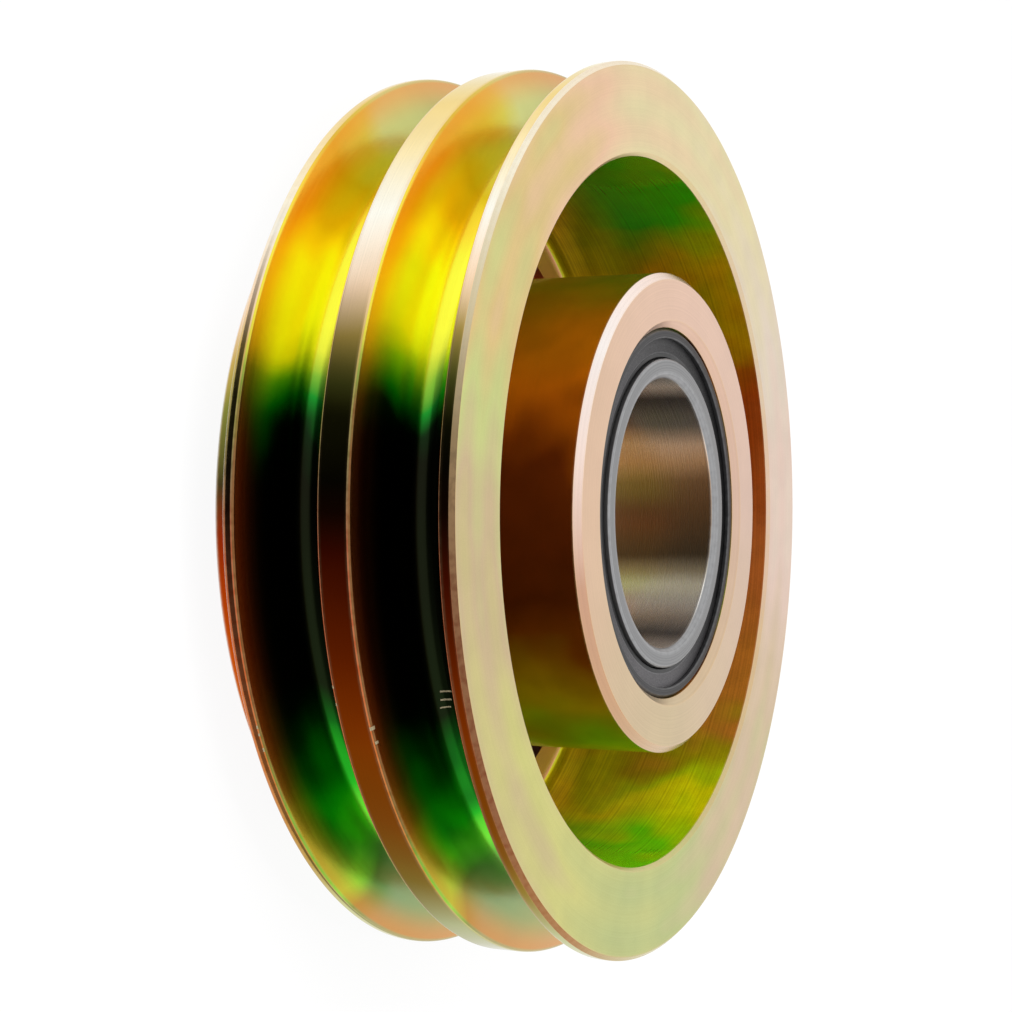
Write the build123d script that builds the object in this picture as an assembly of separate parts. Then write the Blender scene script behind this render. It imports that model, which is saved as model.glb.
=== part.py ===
from build123d import *

import os
from math import cos, degrees, radians, sin, tan

# Compressor clutch pulley, in millimetres: a turned steel rotor with two V-belt grooves and an open
# coil cavity, on a sealed double-row ball bearing.
# +Z runs along the axis from the friction face to the coil side, and the origin is the centre of the
# friction face. Rotor and bearing sections are drawn as (radius, height, corner rounding) points.

# Rim
rim_diameter = 132.0
pulley_width = 40.0  # friction face to the annular face of the rim
rim_face_chamfer = 1.0
friction_ring_diameter = 115.8
friction_ring_chamfer = 0.6
friction_ring_foot_rounding = 0.5
rear_flange_thickness = 3.2  # last groove to the back of the rear flange

# Belt grooves
groove_count = 2
groove_pitch = 15.0
face_to_first_groove = 10.0  # annular face to the middle of the nearest groove
groove_top_width = 10.4
groove_depth = 10.3
groove_angle = 38.0  # between the two flanks, in degrees
groove_root_rounding = 0.9
land_rounding = 0.9

# Coil cavity
cavity_diameter = 105.0
cavity_mouth_chamfer = 0.8
floor_thickness = 10.0
pole_land_diameter = 100.6  # outer edge of the flat land on the floor
relief_depth = 0.8  # turned relief between that land and the cavity wall
wall_foot_rounding = 1.4

# Flux slots through the floor: two rings, with the bridges of one ring between those of the other
slots_per_ring = 6
slot_width = 3.0
slot_bridge = 6.5  # steel left between the ends of two neighbouring slots
slot_ring_outer_diameters = (92.6, 82.0)

# Hub
hub_diameter = 71.0
hub_stand_out = 3.3  # hub face above the annular face of the rim
hub_edge_chamfer = 1.0
hub_foot_rounding = 1.5
seat_mouth_chamfer = 1.0
bearing_recess = 1.0  # hub face to the bearing's face
seat_lip_diameter = 50.0
seat_lip_thickness = 4.0
hub_relief_diameter = 57.0
hub_relief_chamfer = 0.8

# Bearing rings
bearing_bore = 40.0
bearing_outside = 55.0
bearing_width = 24.0
bore_chamfer = 0.5
outer_corner_chamfer = 0.5
inner_face_chamfer = 0.25
row_spacing = 11.0
inner_shoulder_height = 1.2  # high shoulder of the inner ring above the bottom of its raceway
inner_middle_height = 0.8
outer_shoulder_height = 0.7
outer_middle_height = 1.1

# Balls and cages
ball_diameter = 4.0
balls_per_row = 24
race_clearance = 0.06
pocket_clearance = 0.1
cage_wall = 1.4
cage_web = 0.9  # ring of the cage beyond its pockets
cage_finger_reach = 1.1  # tips of the fingers past the middle of the balls

# Seals
seal_recess = 0.8  # bearing face to the seal
seal_insert_thickness = 0.5
seal_insert_wall = 0.5
seal_insert_height = 1.7  # over its folded rim
seal_insert_rounding = 0.35
seal_seat_depth = 1.4  # seat in the outer ring, from the ring's outside
seal_retaining_step = 0.15
seal_lip_reach = 0.8  # rubber between the insert's bore and the inner ring
seal_lip_thickness = 1.3
seal_running_clearance = 0.05

# Places that follow from the sizes
rim_radius = rim_diameter / 2
last_groove_height = pulley_width - face_to_first_groove - (groove_count - 1) * groove_pitch
rear_flange_height = last_groove_height - groove_top_width / 2 - rear_flange_thickness
hub_face = pulley_width + hub_stand_out
bearing_top = hub_face - bearing_recess
bearing_bottom = bearing_top - bearing_width
bearing_middle = bearing_top - bearing_width / 2
pitch_radius = (bearing_bore + bearing_outside) / 4
ball_radius = ball_diameter / 2
inner_race_radius = pitch_radius - ball_radius
outer_race_radius = pitch_radius + ball_radius
inner_shoulder_radius = inner_race_radius + inner_shoulder_height
row_height = bearing_middle + row_spacing / 2
seal_seat_radius = bearing_outside / 2 - seal_seat_depth
seal_top = bearing_top - seal_recess
seal_step = seal_top - seal_insert_height
insert_bore_radius = inner_shoulder_radius + seal_lip_reach


def section(points):
    """Closed half-section from (radius, height, corner rounding) points, in the XZ plane."""
    face = make_face(Polyline(*[(r, z) for r, z, _ in points], close=True)).face()
    for r, z, rounding in points:
        if rounding:
            corner = face.vertices().sort_by_distance((r, z, 0))[0]
            face = face.fillet_2d(rounding, [corner])
    return Plane.XZ * face


def turned(half_section):
    """Solid that a half-section makes when it is turned about the Z axis."""
    return revolve(half_section, Axis.Z)


def rim_outline():
    """Points up the outside of the rim, from the rear flange over each groove to the annular face.

    Where the rear flange stands out little past the friction ring, its roundings shrink to fit.
    """
    flank = groove_depth * tan(radians(groove_angle / 2))
    root_radius = rim_radius - groove_depth
    ring_radius = friction_ring_diameter / 2
    step = rim_radius - ring_radius
    points = [
        (ring_radius, rear_flange_height, min(friction_ring_foot_rounding, step / 4)),
        (rim_radius, rear_flange_height, min(land_rounding, step / 2, rear_flange_thickness / 3)),
    ]
    for index in range(groove_count):
        middle = last_groove_height + index * groove_pitch
        half_top = groove_top_width / 2
        half_root = half_top - flank
        points += [
            (rim_radius, middle - half_top, land_rounding),
            (root_radius, middle - half_root, groove_root_rounding),
            (root_radius, middle + half_root, groove_root_rounding),
            (rim_radius, middle + half_top, land_rounding),
        ]
    return points + [
        (rim_radius, pulley_width - rim_face_chamfer, 0),
        (rim_radius - rim_face_chamfer, pulley_width, 0),
    ]


def rotor_section():
    """Half-section of the rotor: rim, cavity, hub, bearing seat and friction face in one outline."""
    ring_radius = friction_ring_diameter / 2
    cavity_radius = cavity_diameter / 2
    land_radius = pole_land_diameter / 2
    hub_radius = hub_diameter / 2
    seat_radius = bearing_outside / 2
    lip_radius = seat_lip_diameter / 2
    relief_radius = hub_relief_diameter / 2
    lip_bottom = bearing_bottom - seat_lip_thickness
    outside = [
        (ring_radius - friction_ring_chamfer, 0, 0),
        (ring_radius, friction_ring_chamfer, 0),
    ] + rim_outline()
    cavity = [
        (cavity_radius + cavity_mouth_chamfer, pulley_width, 0),
        (cavity_radius, pulley_width - cavity_mouth_chamfer, 0),
        (cavity_radius, floor_thickness - relief_depth, wall_foot_rounding),
        (land_radius, floor_thickness - relief_depth, 0),
        (land_radius, floor_thickness, 0),
        (hub_radius, floor_thickness, hub_foot_rounding),
    ]
    hub = [
        (hub_radius, hub_face - hub_edge_chamfer, 0),
        (hub_radius - hub_edge_chamfer, hub_face, 0),
        (seat_radius + seat_mouth_chamfer, hub_face, 0),
        (seat_radius, hub_face - seat_mouth_chamfer, 0),
        (seat_radius, bearing_bottom, 0),
        (lip_radius, bearing_bottom, 0),
        (lip_radius, lip_bottom, 0),
        (relief_radius, lip_bottom, 0),
        (relief_radius, hub_relief_chamfer, 0),
        (relief_radius + hub_relief_chamfer, 0, 0),
    ]
    return section(outside + cavity + hub)


def flux_slots():
    """Arc slots through the floor, with round ends, in two staggered rings."""
    share = 360 / slots_per_ring
    cutters = []
    for ring, outer_diameter in enumerate(slot_ring_outer_diameters):
        centre_radius = (outer_diameter - slot_width) / 2
        end_to_end = share - degrees((slot_bridge + slot_width) / centre_radius)
        arc = CenterArc((0, 0), centre_radius, -end_to_end / 2, end_to_end)
        slot = extrude(SlotArc(arc, slot_width), floor_thickness)
        start = ring * share / 2
        cutters += [Rot(0, 0, start + share * copy) * slot for copy in range(slots_per_ring)]
    return cutters


def rotor():
    """The rotor in one solid, with the flux slots cut through the floor."""
    return turned(rotor_section()) - flux_slots()


def mirrored_outline(half):
    """Outline with the given points above the bearing's middle plane and their mirror below."""
    below = [(r, 2 * bearing_middle - z, rounding) for r, z, rounding in reversed(half)]
    return half + below


def raceways(radius):
    """Two circles of the given radius at the middles of the balls, in the half-section's plane."""
    heights = (row_height, row_height - row_spacing)
    return [Plane.XZ * Pos(pitch_radius, height) * Circle(radius) for height in heights]


def outer_ring():
    """Outer bearing ring with two raceways and a seal seat in each end."""
    outside = bearing_outside / 2
    shoulder = outer_race_radius - outer_shoulder_height
    middle = outer_race_radius - outer_middle_height
    mouth = seal_seat_radius - seal_retaining_step
    half = [
        (middle, row_height, 0),
        (shoulder, row_height, 0),
        (shoulder, seal_step, 0),
        (seal_seat_radius, seal_step, 0),
        (seal_seat_radius, seal_top, 0),
        (mouth, seal_top + seal_retaining_step, 0),
        (mouth, bearing_top - seal_retaining_step, 0),
        (mouth + seal_retaining_step, bearing_top, 0),
        (outside - outer_corner_chamfer, bearing_top, 0),
        (outside, bearing_top - outer_corner_chamfer, 0),
    ]
    ring = section(mirrored_outline(half)) - raceways(ball_radius + race_clearance)
    return turned(ring)


def inner_ring():
    """Inner bearing ring with two raceways, high outer shoulders and a chamfered bore."""
    bore = bearing_bore / 2
    middle = inner_race_radius + inner_middle_height
    half = [
        (middle, row_height, 0),
        (inner_shoulder_radius, row_height, 0),
        (inner_shoulder_radius, bearing_top - inner_face_chamfer, 0),
        (inner_shoulder_radius - inner_face_chamfer, bearing_top, 0),
        (bore + bore_chamfer, bearing_top, 0),
        (bore, bearing_top - bore_chamfer, 0),
    ]
    ring = section(mirrored_outline(half)) - raceways(ball_radius + race_clearance)
    return turned(ring)


def seal_insert():
    """Steel insert of the coil-side seal: a flat ring with its rim folded into the outer ring."""
    folded = seal_seat_radius - seal_insert_wall
    return turned(section([
        (insert_bore_radius, seal_top, 0),
        (insert_bore_radius, seal_top - seal_insert_thickness, 0),
        (folded, seal_top - seal_insert_thickness, 0),
        (folded, seal_step, 0),
        (seal_seat_radius, seal_step, 0),
        (seal_seat_radius, seal_top, seal_insert_rounding),
    ]))


def seal_lip():
    """Rubber of the coil-side seal, bonded under the insert, with its lip beside the inner ring."""
    lip_radius = inner_shoulder_radius + seal_running_clearance
    insert_bottom = seal_top - seal_insert_thickness
    lip_bottom = seal_top - seal_lip_thickness
    return turned(section([
        (lip_radius, insert_bottom, 0),
        (lip_radius + seal_lip_reach / 4, seal_top, 0),
        (insert_bore_radius, seal_top, 0),
        (insert_bore_radius, insert_bottom, 0),
        (seal_seat_radius - seal_insert_wall, insert_bottom, 0),
        (seal_seat_radius - seal_insert_wall, lip_bottom, 0),
        (lip_radius + seal_lip_reach / 2, lip_bottom, 0),
    ]))


def ball_places(start_angle):
    """Places of the balls of the coil-side row, the first at the start angle."""
    step = 360 / balls_per_row
    angles = [radians(start_angle + step * index) for index in range(balls_per_row)]
    return [Pos(pitch_radius * cos(a), pitch_radius * sin(a), row_height) for a in angles]


def cage(start_angle):
    """Snap cage of the coil-side row: a ring with fingers that close over the balls."""
    inner = pitch_radius - cage_wall / 2
    outer = pitch_radius + cage_wall / 2
    pocket_radius = ball_radius + pocket_clearance
    bottom = row_height - cage_finger_reach
    top = row_height + pocket_radius + cage_web
    ring = turned(section([(inner, bottom, 0), (outer, bottom, 0), (outer, top, 0), (inner, top, 0)]))
    return ring - [place * Sphere(pocket_radius) for place in ball_places(start_angle)]


def balls(start_angle):
    """Balls of the coil-side row, one solid each."""
    return [place * Sphere(ball_radius) for place in ball_places(start_angle)]


def to_friction_side(shape):
    """The same piece on the other side of the bearing's middle plane."""
    return mirror(shape, about=Plane.XY.offset(bearing_middle))


def bearing_sides():
    """Seal, cage and balls of each side, by node name. The two rows stand half a ball apart."""
    half_step = 180 / balls_per_row
    nodes = {}
    for side, start_angle, place in (
        ("coil_side", 0, lambda shape: shape),
        ("friction_side", half_step, to_friction_side),
    ):
        nodes[f"{side}_seal_insert"] = place(seal_insert())
        nodes[f"{side}_seal_lip"] = place(seal_lip())
        nodes[f"{side}_cage"] = place(cage(start_angle))
        for number, ball in enumerate(balls(start_angle), 1):
            nodes[f"{side}_ball_{number:02d}"] = place(ball)
    return nodes


def main():
    """Builds each piece and writes it to its own file."""
    nodes = {
        "pulley_rotor": rotor(),
        "bearing_outer_ring": outer_ring(),
        "bearing_inner_ring": inner_ring(),
    }
    nodes.update(bearing_sides())
    os.makedirs("parts", exist_ok=True)
    for name, shape in nodes.items():
        export_step(shape, f"parts/{name}.step")
    print(len(nodes), "nodes written")


main()
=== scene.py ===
"""Looks of a two-groove compressor clutch pulley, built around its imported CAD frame.

The frame is in metres with +Z along the axis, from the friction face to the coil side. Sizes of the
turned pieces are given in millimetres, as on a workshop drawing, and are scaled where meshes are made.
"""

import logging
import math
from dataclasses import dataclass
from enum import Enum, IntEnum

import bpy
import numpy as np
from mathutils import Matrix, Vector

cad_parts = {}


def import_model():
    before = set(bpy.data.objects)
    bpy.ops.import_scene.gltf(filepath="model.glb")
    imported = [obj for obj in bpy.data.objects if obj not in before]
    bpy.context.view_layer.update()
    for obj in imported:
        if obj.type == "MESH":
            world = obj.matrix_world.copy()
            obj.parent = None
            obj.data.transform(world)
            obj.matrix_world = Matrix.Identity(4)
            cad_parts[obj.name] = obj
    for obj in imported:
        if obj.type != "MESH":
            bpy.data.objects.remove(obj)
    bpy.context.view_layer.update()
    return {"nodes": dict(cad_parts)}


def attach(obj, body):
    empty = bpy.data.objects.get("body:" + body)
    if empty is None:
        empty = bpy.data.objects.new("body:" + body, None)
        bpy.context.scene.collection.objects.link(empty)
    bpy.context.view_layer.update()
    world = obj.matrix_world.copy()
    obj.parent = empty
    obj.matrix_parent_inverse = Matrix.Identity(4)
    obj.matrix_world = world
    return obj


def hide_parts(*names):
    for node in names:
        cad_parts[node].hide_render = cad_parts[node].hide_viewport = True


MM = 0.001
PHOTO_SIDE = 1012
EDGE_ATTRIBUTE = "edge"

Colour = tuple[float, float, float]
Stops = tuple[tuple[float, Colour], ...]

log = logging.getLogger("clutch_pulley")


def srgb(red: int, green: int, blue: int) -> Colour:
    """Linear colour of a screen colour with channels from 0 to 255.

    Args:
        red: Red channel.
        green: Green channel.
        blue: Blue channel.

    Returns:
        The three linear channels, from 0 to 1.
    """
    channels = np.array([red, green, blue]) / 255.0
    linear = np.where(channels <= 0.04045, channels / 12.92, ((channels + 0.055) / 1.055) ** 2.4)
    return tuple(float(value) for value in linear)


def ramp_stops(*stops: tuple[float, int, int, int]) -> Stops:
    """Stops of a colour ramp, from places and screen colours with channels from 0 to 255."""
    return tuple((place, srgb(*channels)) for place, *channels in stops)


class Direction(Enum):
    """Way that the lathe tool moved over a surface: across a face, or along a cylinder."""

    FACE = 0.0
    CYLINDER = 1.0


class Surface(IntEnum):
    """Differently finished stretches of the rotor, in the order of its material slots."""

    RIM = 0
    GROOVE = 1
    FACE = 2
    WALL = 3
    FLOOR = 4
    HUB = 5
    HUB_FACE = 6
    SEAT = 7
    FRICTION = 8
    SLOT = 9
    # The hub's outer chamfer, whose colour cycle holds a painted highlight.
    HUB_EDGE = 10
    # The rim's front chamfer, whose colour cycle holds a painted highlight and painted reflection.
    RIM_EDGE = 11


@dataclass(frozen=True)
class Corner:
    """Corner of a turned outline, in millimetres, and the finish of the stretch that starts there."""

    radius: float
    height: float
    rounding: float = 0.0
    surface: int = 0


@dataclass(frozen=True)
class Outline:
    """Sampled outline of a turned piece: points, edge values of the points, finishes of the spans."""

    points: np.ndarray
    edges: np.ndarray
    surfaces: np.ndarray


class OutlineMaker:
    """Rounds and samples the closed outline of a turned piece."""

    largest_arc_step = math.radians(12.0)
    largest_edge = 1.0
    edge_band = 0.28
    shortest_span = 3

    def __init__(self, corners: list[Corner]) -> None:
        """Keeps the corners, put in the order that has the metal on the left.

        Args:
            corners: Corners round the outline in either direction.
        """
        radii = np.array([corner.radius for corner in corners])
        heights = np.array([corner.height for corner in corners])
        area = np.sum(radii * np.roll(heights, -1) - np.roll(radii, -1) * heights) / 2
        if area < 0:
            surfaces = [corner.surface for corner in corners]
            shifted = surfaces[-1:] + surfaces[:-1]
            corners = [
                Corner(corner.radius, corner.height, corner.rounding, surface)
                for corner, surface in zip(corners[::-1], shifted[::-1])
            ]
        self.corners = corners

    def rounded_corner(self, index: int) -> tuple[np.ndarray, float]:
        """Points of one corner after rounding.

        The arc runs between the two points that lie rounding * tan(turn / 2) before and after the
        corner, round a centre that is one rounding away from both sides.

        Args:
            index: Place of the corner in the outline.

        Returns:
            The points, and 1.0 for an outer corner, -1.0 for an inner one or 0.0 for a soft one.
        """
        near = (self.corners[i % len(self.corners)] for i in (index, index - 1, index + 1))
        here, before, after = (np.array([corner.radius, corner.height]) for corner in near)
        inward = (here - before) / np.linalg.norm(here - before)
        onward = (after - here) / np.linalg.norm(after - here)
        cross = inward[0] * onward[1] - inward[1] * onward[0]
        turn = math.atan2(cross, float(inward @ onward))
        rounding = self.corners[index].rounding
        if rounding == 0.0:
            return here[None, :], math.copysign(1.0, turn)
        start = here - inward * rounding * math.tan(abs(turn) / 2)
        side = math.copysign(1.0, turn)
        normal = side * np.array([-inward[1], inward[0]])
        centre = start + rounding * normal
        steps = max(2, math.ceil(abs(turn) / self.largest_arc_step))
        swept = np.linspace(0.0, turn, steps + 1)
        arm = start - centre
        points = np.stack(
            [
                centre[0] + arm[0] * np.cos(swept) - arm[1] * np.sin(swept),
                centre[1] + arm[0] * np.sin(swept) + arm[1] * np.cos(swept),
            ],
            axis=1,
        )
        return points, side if rounding < self.largest_edge else 0.0

    def sample(self) -> Outline:
        """Outline with arcs at its corners and a narrow band beside each corner for edge effects.

        Returns:
            The sampled outline, with one edge value a point and one finish a span.
        """
        arcs = [self.rounded_corner(index) for index in range(len(self.corners))]
        points, edges, surfaces = [], [], []
        for index, (arc, side) in enumerate(arcs):
            surface = self.corners[index].surface
            middle = len(arc) // 2
            points.append(arc)
            edges.append(np.full(len(arc), side))
            before = self.corners[index - 1].surface
            surfaces += [before] * middle + [surface] * (len(arc) - middle)
            start, end = arc[-1], arcs[(index + 1) % len(arcs)][0][0]
            length = float(np.linalg.norm(end - start))
            if length > self.shortest_span * self.edge_band:
                step = (end - start) / length * self.edge_band
                points.append(np.array([start + step, end - step]))
                edges.append(np.zeros(2))
                surfaces += [surface] * 2
        return Outline(np.concatenate(points), np.concatenate(edges), np.array(surfaces))


class Lathe:
    """Turns outlines into closed meshes."""

    segments = 320

    @classmethod
    def mesh(cls, name: str, outline: Outline) -> bpy.types.Mesh:
        """Closed mesh of a turned outline.

        A point at radius r and height z is carried round a circle: (r cos a, r sin a, z), with the
        angle a as the second parameter of the grid.

        Args:
            name: Name of the mesh.
            outline: Sampled outline in millimetres, with the metal on its left.

        Returns:
            The mesh in metres, with its faces pointing outwards.
        """
        angles = np.linspace(0.0, 2 * math.pi, cls.segments, endpoint=False)
        radius, height = (outline.points * MM).T
        count = len(radius)
        grid = np.stack(
            [
                radius[:, None] * np.cos(angles),
                radius[:, None] * np.sin(angles),
                np.broadcast_to(height[:, None], (count, cls.segments)),
            ],
            axis=2,
        )
        rows = np.arange(count)[:, None] * cls.segments
        next_rows = np.roll(rows, -1, axis=0)
        columns = np.arange(cls.segments)[None, :]
        next_columns = np.roll(columns, -1, axis=1)
        quads = np.stack(
            [rows + columns, rows + next_columns, next_rows + next_columns, next_rows + columns], axis=2
        )
        mesh = bpy.data.meshes.new(name)
        mesh.from_pydata(grid.reshape(-1, 3), [], quads.reshape(-1, 4))
        mesh.polygons.foreach_set("material_index", np.repeat(outline.surfaces, cls.segments))
        edge = mesh.attributes.new(EDGE_ATTRIBUTE, "FLOAT", "POINT")
        edge.data.foreach_set("value", np.repeat(outline.edges, cls.segments).astype(np.float32))
        return mesh


def shade(mesh: bpy.types.Mesh, sharp_from: float = 32.0) -> None:
    """Shades a mesh smooth and keeps edges sharper than an angle in degrees.

    Args:
        mesh: Mesh to shade.
        sharp_from: Smallest angle of an edge that stays sharp.
    """
    mesh.polygons.foreach_set("use_smooth", np.ones(len(mesh.polygons), dtype=bool))
    mesh.set_sharp_from_angle(angle=math.radians(sharp_from))
    mesh.update()


def piece_from(mesh: bpy.types.Mesh, materials: list[bpy.types.Material]) -> bpy.types.Object:
    """Object at the origin that shows a mesh, with its materials in slot order.

    Args:
        mesh: Mesh to show.
        materials: Materials that are added to its slots.

    Returns:
        The object, linked into the scene.
    """
    for material in materials:
        mesh.materials.append(material)
    piece = bpy.data.objects.new(mesh.name, mesh)
    bpy.context.scene.collection.objects.link(piece)
    return piece


class NodePen:
    """Adds nodes to one tree and links them."""

    def __init__(self, tree: bpy.types.NodeTree) -> None:
        """Keeps the tree that is written to."""
        self.tree = tree

    def node(self, kind: str, **settings: object) -> bpy.types.Node:
        """New node of a kind, with its settings.

        Args:
            kind: Type name of the node.
            **settings: Properties of the node by name.

        Returns:
            The node.
        """
        made = self.tree.nodes.new(kind)
        for name, value in settings.items():
            setattr(made, name, value)
        return made

    def feed(self, socket: bpy.types.NodeSocket, value: object) -> None:
        """Links another socket into a socket, or sets its value.

        Args:
            socket: Input to feed.
            value: Output of a node, or a plain value.
        """
        if isinstance(value, bpy.types.NodeSocket):
            self.tree.links.new(value, socket)
        else:
            socket.default_value = value

    def math(self, operation: str, *values: object, clamp: bool = False) -> bpy.types.NodeSocket:
        """Result of a Math node on one to three values.

        Args:
            operation: Operation of the node.
            *values: Sockets or numbers, in order.
            clamp: Whether the result is held between 0 and 1.

        Returns:
            The result.
        """
        made = self.node("ShaderNodeMath", operation=operation, use_clamp=clamp)
        for socket, value in zip(made.inputs, values):
            self.feed(socket, value)
        return made.outputs[0]

    def blend(self, share: object, first: object, second: object,
              mode: str = "MIX") -> bpy.types.NodeSocket:
        """Colour between two colours, by a share of the second.

        Args:
            share: Share of the second colour.
            first: Socket or colour that is there at 0.
            second: Socket or colour that is there at 1.
            mode: Blend mode.

        Returns:
            The colour.
        """
        made = self.node("ShaderNodeMix", data_type="RGBA", blend_type=mode)
        self.feed(made.inputs["Factor"], share)
        for socket, value in ((made.inputs[6], first), (made.inputs[7], second)):
            self.feed(socket, (*value, 1.0) if isinstance(value, tuple) else value)
        return made.outputs[2]

    def ramp(self, place: object, stops: Stops) -> bpy.types.NodeSocket:
        """Colour at a place on a ramp of stops.

        Args:
            place: Socket with the place, from 0 to 1.
            stops: Places and colours, in order.

        Returns:
            The colour.
        """
        made = self.node("ShaderNodeValToRGB")
        elements = made.color_ramp.elements
        elements[0].position, elements[-1].position = stops[0][0], stops[-1][0]
        for position, _ in stops[1:-1]:
            elements.new(position)
        for element, (_, colour) in zip(elements, stops):
            element.color = (*colour, 1.0)
        self.feed(made.inputs[0], place)
        return made.outputs[0]

    def noise(self, vector: object, scale: object, detail: float = 2.0,
              **settings: object) -> bpy.types.NodeSocket:
        """Value of a noise texture at a place.

        Args:
            vector: Place, or a number where the noise has one dimension.
            scale: Cycles per unit of the place.
            detail: Octaves above the first.
            **settings: Properties of the node by name.

        Returns:
            The value, from 0 to 1.
        """
        made = self.node("ShaderNodeTexNoise", **settings)
        self.feed(made.inputs["W" if made.noise_dimensions == "1D" else "Vector"], vector)
        self.feed(made.inputs["Scale"], scale)
        made.inputs["Detail"].default_value = detail
        return made.outputs[0]

    def remap(self, value: object, low: float, high: float, to_low: float = 0.0, to_high: float = 1.0,
              kind: str = "SMOOTHSTEP") -> bpy.types.NodeSocket:
        """Value moved from one range to another, and held at its ends.

        Args:
            value: Socket to move.
            low: Value that becomes to_low.
            high: Value that becomes to_high.
            to_low: Result at low.
            to_high: Result at high.
            kind: Interpolation of the node.

        Returns:
            The moved value.
        """
        made = self.node("ShaderNodeMapRange", interpolation_type=kind, clamp=True)
        for socket, amount in zip(made.inputs, (value, low, high, to_low, to_high)):
            self.feed(socket, amount)
        return made.outputs[0]

    def group(self, tree: bpy.types.NodeTree, **values: object) -> bpy.types.Node:
        """A node group placed with its own values.

        Args:
            tree: Group to place.
            **values: Its inputs by name.

        Returns:
            The group node.
        """
        made = self.node("ShaderNodeGroup", node_tree=tree)
        for name, value in values.items():
            self.feed(made.inputs[name], value)
        return made


class SharedEffects:
    """Node groups that several finishes use, each built once. Scales are per metre of the piece."""

    tool_sway_scale = 60.0
    tool_sway = 0.3
    ripple_rate = 0.9
    mottle_rate = 5.0
    tone_range = (0.35, 0.65)
    rub_break_scale = 900.0
    rub_break_range = (0.3, 0.6)
    rub_break_share = 0.5

    def __init__(self) -> None:
        """Builds the groups."""
        self.turning_place = self.make_turning_place()
        self.film_drift = self.make_film_drift()
        self.tool_marks = self.make_tool_marks()
        self.wear_and_nook_shade = self.make_wear_and_nook_shade()

    @staticmethod
    def start(name: str, inputs: dict[str, str],
              outputs: tuple[str, ...]) -> tuple[NodePen, dict, bpy.types.Node]:
        """New group with named sockets.

        Args:
            name: Name of the group.
            inputs: Socket type of each input.
            outputs: Names of the outputs, all plain values.

        Returns:
            A pen for the group, its input sockets by name, and its output node.
        """
        tree = bpy.data.node_groups.new(name, "ShaderNodeTree")
        for label, kind in inputs.items():
            tree.interface.new_socket(label, in_out="INPUT", socket_type=kind)
        for label in outputs:
            tree.interface.new_socket(label, in_out="OUTPUT", socket_type="NodeSocketFloat")
        pen = NodePen(tree)
        entry = pen.node("NodeGroupInput")
        return pen, {label: entry.outputs[label] for label in inputs}, pen.node("NodeGroupOutput")

    def make_turning_place(self) -> bpy.types.NodeTree:
        """Radius and height in millimetres, and the turn from -X towards +Y, of a place."""
        pen, given, result = self.start(
            "turning_place", {"Position": "NodeSocketVector"}, ("Radius", "Height", "Turn")
        )
        split = pen.node("ShaderNodeSeparateXYZ")
        pen.feed(split.inputs[0], given["Position"])
        x, y, z = split.outputs
        squares = pen.math("ADD", pen.math("MULTIPLY", x, x), pen.math("MULTIPLY", y, y))
        pen.feed(result.inputs["Radius"], pen.math("DIVIDE", pen.math("SQRT", squares), MM))
        pen.feed(result.inputs["Height"], pen.math("DIVIDE", z, MM))
        angle = pen.math("ARCTAN2", y, pen.math("MULTIPLY", x, -1.0))
        pen.feed(result.inputs["Turn"], pen.math("DIVIDE", angle, 2 * math.pi))
        return pen.tree

    def make_film_drift(self) -> bpy.types.NodeTree:
        """Place of the chromate film in its cycle of colours, which drifts round the piece."""
        pen, given, result = self.start(
            "film_drift",
            {
                "Position": "NodeSocketVector",
                "Repeats": "NodeSocketFloat",
                "Phase": "NodeSocketFloat",
                "Wobble": "NodeSocketFloat",
                "Patch": "NodeSocketFloat",
                "Across": "NodeSocketFloat",
            },
            ("Drift", "Mottle"),
        )
        place = pen.group(self.turning_place, Position=given["Position"]).outputs
        size = pen.math("DIVIDE", 1.0, given["Patch"])
        patches = pen.noise(given["Position"], size, 2.0)
        around = pen.math("MULTIPLY_ADD", place["Turn"], given["Repeats"], given["Phase"])
        wobble = pen.math("MULTIPLY", pen.math("SUBTRACT", patches, 0.5), given["Wobble"])
        along = pen.math("ADD", place["Radius"], place["Height"])
        ripple = pen.math("SINE", pen.math("MULTIPLY", along, self.ripple_rate))
        across = pen.math("MULTIPLY", ripple, given["Across"])
        drift = pen.math("ADD", pen.math("ADD", around, wobble), across)
        pen.feed(result.inputs["Drift"], pen.math("FRACT", drift))
        mottle = pen.noise(given["Position"], pen.math("MULTIPLY", size, self.mottle_rate), 4.0)
        pen.feed(result.inputs["Mottle"], mottle)
        return pen.tree

    def make_tool_marks(self) -> bpy.types.NodeTree:
        """Fine lines that a lathe tool leaves round the axis, and the grain of the plating on them."""
        pen, given, result = self.start(
            "tool_marks",
            {
                "Position": "NodeSocketVector",
                "Direction": "NodeSocketFloat",
                "Pitch": "NodeSocketFloat",
                "Grain": "NodeSocketFloat",
                "Grain Share": "NodeSocketFloat",
            },
            ("Height", "Tone"),
        )
        place = pen.group(self.turning_place, Position=given["Position"]).outputs
        advance = pen.math("SUBTRACT", place["Height"], place["Radius"])
        along = pen.math("MULTIPLY_ADD", advance, given["Direction"], place["Radius"])
        drift = pen.noise(given["Position"], self.tool_sway_scale, 1.0)
        sway = pen.math("MULTIPLY", drift, self.tool_sway)
        tool = pen.math("ADD", pen.math("DIVIDE", along, given["Pitch"]), sway)
        lines = pen.noise(tool, 1.0, 3.0, noise_dimensions="1D")
        grain = pen.noise(given["Position"], pen.math("DIVIDE", 1.0 / MM, given["Grain"]), 2.0)
        share = given["Grain Share"]
        difference = pen.math("SUBTRACT", grain, lines)
        height = pen.math("MULTIPLY_ADD", difference, share, lines)
        pen.feed(result.inputs["Height"], height)
        pen.feed(result.inputs["Tone"], pen.remap(height, *self.tone_range))
        return pen.tree

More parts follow.
